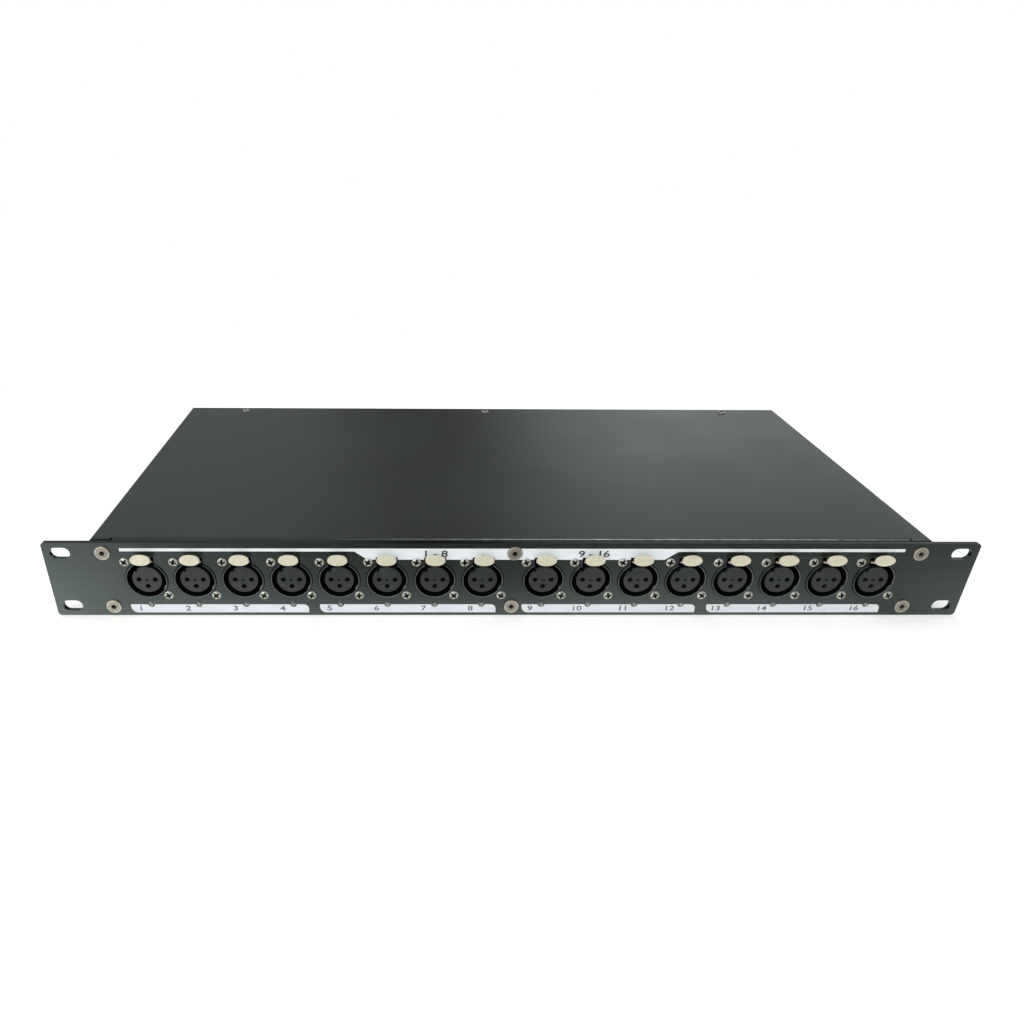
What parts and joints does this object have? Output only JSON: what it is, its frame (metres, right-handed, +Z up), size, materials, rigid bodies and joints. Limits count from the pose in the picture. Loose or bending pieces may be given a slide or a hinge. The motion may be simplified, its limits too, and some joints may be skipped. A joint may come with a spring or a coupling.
{
  "type": "dmx splitter",
  "caption": "Rack-mounted lighting data splitter: a brushed black panel with a row of output sockets with push tabs and lamps, and a flat steel case with inputs and mains inlet behind.",
  "frame": {"origin": "centre of the four rack slots, on the rear face of the front panel", "axes": "+X along the panel to the right as seen from the front, +Y to the rear of the case, +Z up"},
  "size_m": [0.4826, 0.2198, 0.0449],
  "materials": {
    "anodised_panel": "brushed along its length and black anodised",
    "powder_coat": "fine-textured black powder coat on folded steel",
    "socket_plastic": "moulded glass-filled nylon",
    "carrier_plastic": "smooth moulded plastic",
    "contact_brass": "plated copper alloy",
    "spring_steel": "bright spring wire",
    "latch_nickel": "nickel plated, tumbled",
    "nickel_screw": "nickel plated",
    "panel_screw_metal": "turned and nickel plated",
    "lamp_lens": "water-clear epoxy",
    "board_green": "solder resist on glass epoxy",
    "board_tan": "paper phenolic",
    "chip_plastic": "moulded epoxy",
    "transformer_steel": "laminated steel",
    "capacitor_can": "sleeved aluminium can",
    "inlet_plastic": "moulded thermoplastic",
    "nickel_blade": "nickel-plated brass",
    "fuse_glass": "glass tube with plated end caps",
    "switch_plastic": "polished thermoplastic",
    "wire_sleeve": "soft plastic insulation"
  },
  "bodies": {
    "case": {"front_panel": "anodised_panel", "chassis_tray": "powder_coat", "rear_panel": "powder_coat", "top_cover": "powder_coat", "clinch_fasteners": "nickel_screw", "socket_shell_01": "socket_plastic", "socket_shell_02": "socket_plastic", "socket_shell_03": "socket_plastic", "socket_shell_04": "socket_plastic", "socket_shell_05": "socket_plastic", "socket_shell_06": "socket_plastic", "socket_shell_07": "socket_plastic", "socket_shell_08": "socket_plastic", "socket_shell_09": "socket_plastic", "socket_shell_10": "socket_plastic", "socket_shell_11": "socket_plastic", "socket_shell_12": "socket_plastic", "socket_shell_13": "socket_plastic", "socket_shell_14": "socket_plastic", "socket_shell_15": "socket_plastic", "socket_shell_16": "socket_plastic", "socket_inserts": "carrier_plastic", "socket_contacts": "contact_brass", "latch_springs": "spring_steel", "socket_screws": "nickel_screw", "status_leds": "lamp_lens", "panel_screws": "panel_screw_metal", "small_screws": "nickel_screw", "output_boards": "board_green", "main_board": "board_green", "line_driver_chips": "chip_plastic", "supply_board": "board_tan", "supply_transformer": "transformer_steel", "supply_capacitors": "capacitor_can", "mains_inlet": "inlet_plastic", "inlet_blades": "nickel_blade", "switch_frame": "switch_plastic", "input_sockets": "socket_plastic", "input_pins": "contact_brass", "internal_wiring": "wire_sleeve"},
    "latch_01": {"socket_latch_01": "latch_nickel"},
    "latch_02": {"socket_latch_02": "latch_nickel"},
    "latch_03": {"socket_latch_03": "latch_nickel"},
    "latch_04": {"socket_latch_04": "latch_nickel"},
    "latch_05": {"socket_latch_05": "latch_nickel"},
    "latch_06": {"socket_latch_06": "latch_nickel"},
    "latch_07": {"socket_latch_07": "latch_nickel"},
    "latch_08": {"socket_latch_08": "latch_nickel"},
    "latch_09": {"socket_latch_09": "latch_nickel"},
    "latch_10": {"socket_latch_10": "latch_nickel"},
    "latch_11": {"socket_latch_11": "latch_nickel"},
    "latch_12": {"socket_latch_12": "latch_nickel"},
    "latch_13": {"socket_latch_13": "latch_nickel"},
    "latch_14": {"socket_latch_14": "latch_nickel"},
    "latch_15": {"socket_latch_15": "latch_nickel"},
    "latch_16": {"socket_latch_16": "latch_nickel"},
    "drawer": {"fuse_drawer": "inlet_plastic", "fuse": "fuse_glass"},
    "rocker": {"switch_rocker": "switch_plastic"}
  },
  "joints": [
    {"name": "latch_01_press", "type": "hinge", "parent": "case", "child": "latch_01", "pos_m": [-0.191, 0.0026, 0.0129], "axis": [1, 0, 0], "range_deg": [0, 6], "stiffness_Nm_per_rad": 0.05, "springref_deg": -11.46},
    {"name": "latch_02_press", "type": "hinge", "parent": "case", "child": "latch_02", "pos_m": [-0.166, 0.0026, 0.0129], "axis": [1, 0, 0], "range_deg": [0, 6], "stiffness_Nm_per_rad": 0.05, "springref_deg": -11.46},
    {"name": "latch_03_press", "type": "hinge", "parent": "case", "child": "latch_03", "pos_m": [-0.141, 0.0026, 0.0129], "axis": [1, 0, 0], "range_deg": [0, 6], "stiffness_Nm_per_rad": 0.05, "springref_deg": -11.46},
    {"name": "latch_04_press", "type": "hinge", "parent": "case", "child": "latch_04", "pos_m": [-0.116, 0.0026, 0.0129], "axis": [1, 0, 0], "range_deg": [0, 6], "stiffness_Nm_per_rad": 0.05, "springref_deg": -11.46},
    {"name": "latch_05_press", "type": "hinge", "parent": "case", "child": "latch_05", "pos_m": [-0.091, 0.0026, 0.0129], "axis": [1, 0, 0], "range_deg": [0, 6], "stiffness_Nm_per_rad": 0.05, "springref_deg": -11.46},
    {"name": "latch_06_press", "type": "hinge", "parent": "case", "child": "latch_06", "pos_m": [-0.066, 0.0026, 0.0129], "axis": [1, 0, 0], "range_deg": [0, 6], "stiffness_Nm_per_rad": 0.05, "springref_deg": -11.46},
    {"name": "latch_07_press", "type": "hinge", "parent": "case", "child": "latch_07", "pos_m": [-0.041, 0.0026, 0.0129], "axis": [1, 0, 0], "range_deg": [0, 6], "stiffness_Nm_per_rad": 0.05, "springref_deg": -11.46},
    {"name": "latch_08_press", "type": "hinge", "parent": "case", "child": "latch_08", "pos_m": [-0.016, 0.0026, 0.0129], "axis": [1, 0, 0], "range_deg": [0, 6], "stiffness_Nm_per_rad": 0.05, "springref_deg": -11.46},
    {"name": "latch_09_press", "type": "hinge", "parent": "case", "child": "latch_09", "pos_m": [0.016, 0.0026, 0.0129], "axis": [1, 0, 0], "range_deg": [0, 6], "stiffness_Nm_per_rad": 0.05, "springref_deg": -11.46},
    {"name": "latch_10_press", "type": "hinge", "parent": "case", "child": "latch_10", "pos_m": [0.041, 0.0026, 0.0129], "axis": [1, 0, 0], "range_deg": [0, 6], "stiffness_Nm_per_rad": 0.05, "springref_deg": -11.46},
    {"name": "latch_11_press", "type": "hinge", "parent": "case", "child": "latch_11", "pos_m": [0.066, 0.0026, 0.0129], "axis": [1, 0, 0], "range_deg": [0, 6], "stiffness_Nm_per_rad": 0.05, "springref_deg": -11.46},
    {"name": "latch_12_press", "type": "hinge", "parent": "case", "child": "latch_12", "pos_m": [0.091, 0.0026, 0.0129], "axis": [1, 0, 0], "range_deg": [0, 6], "stiffness_Nm_per_rad": 0.05, "springref_deg": -11.46},
    {"name": "latch_13_press", "type": "hinge", "parent": "case", "child": "latch_13", "pos_m": [0.116, 0.0026, 0.0129], "axis": [1, 0, 0], "range_deg": [0, 6], "stiffness_Nm_per_rad": 0.05, "springref_deg": -11.46},
    {"name": "latch_14_press", "type": "hinge", "parent": "case", "child": "latch_14", "pos_m": [0.141, 0.0026, 0.0129], "axis": [1, 0, 0], "range_deg": [0, 6], "stiffness_Nm_per_rad": 0.05, "springref_deg": -11.46},
    {"name": "latch_15_press", "type": "hinge", "parent": "case", "child": "latch_15", "pos_m": [0.166, 0.0026, 0.0129], "axis": [1, 0, 0], "range_deg": [0, 6], "stiffness_Nm_per_rad": 0.05, "springref_deg": -11.46},
    {"name": "latch_16_press", "type": "hinge", "parent": "case", "child": "latch_16", "pos_m": [0.191, 0.0026, 0.0129], "axis": [1, 0, 0], "range_deg": [0, 6], "stiffness_Nm_per_rad": 0.05, "springref_deg": -11.46},
    {"name": "drawer_slide", "type": "slide", "parent": "case", "child": "drawer", "axis": [0, 1, 0], "range_m": [0, 0.014]},
    {"name": "rocker_tilt", "type": "hinge", "parent": "case", "child": "rocker", "pos_m": [0.124, 0.2084, 0], "axis": [1, 0, 0], "range_deg": [0, 20]}
  ]
}
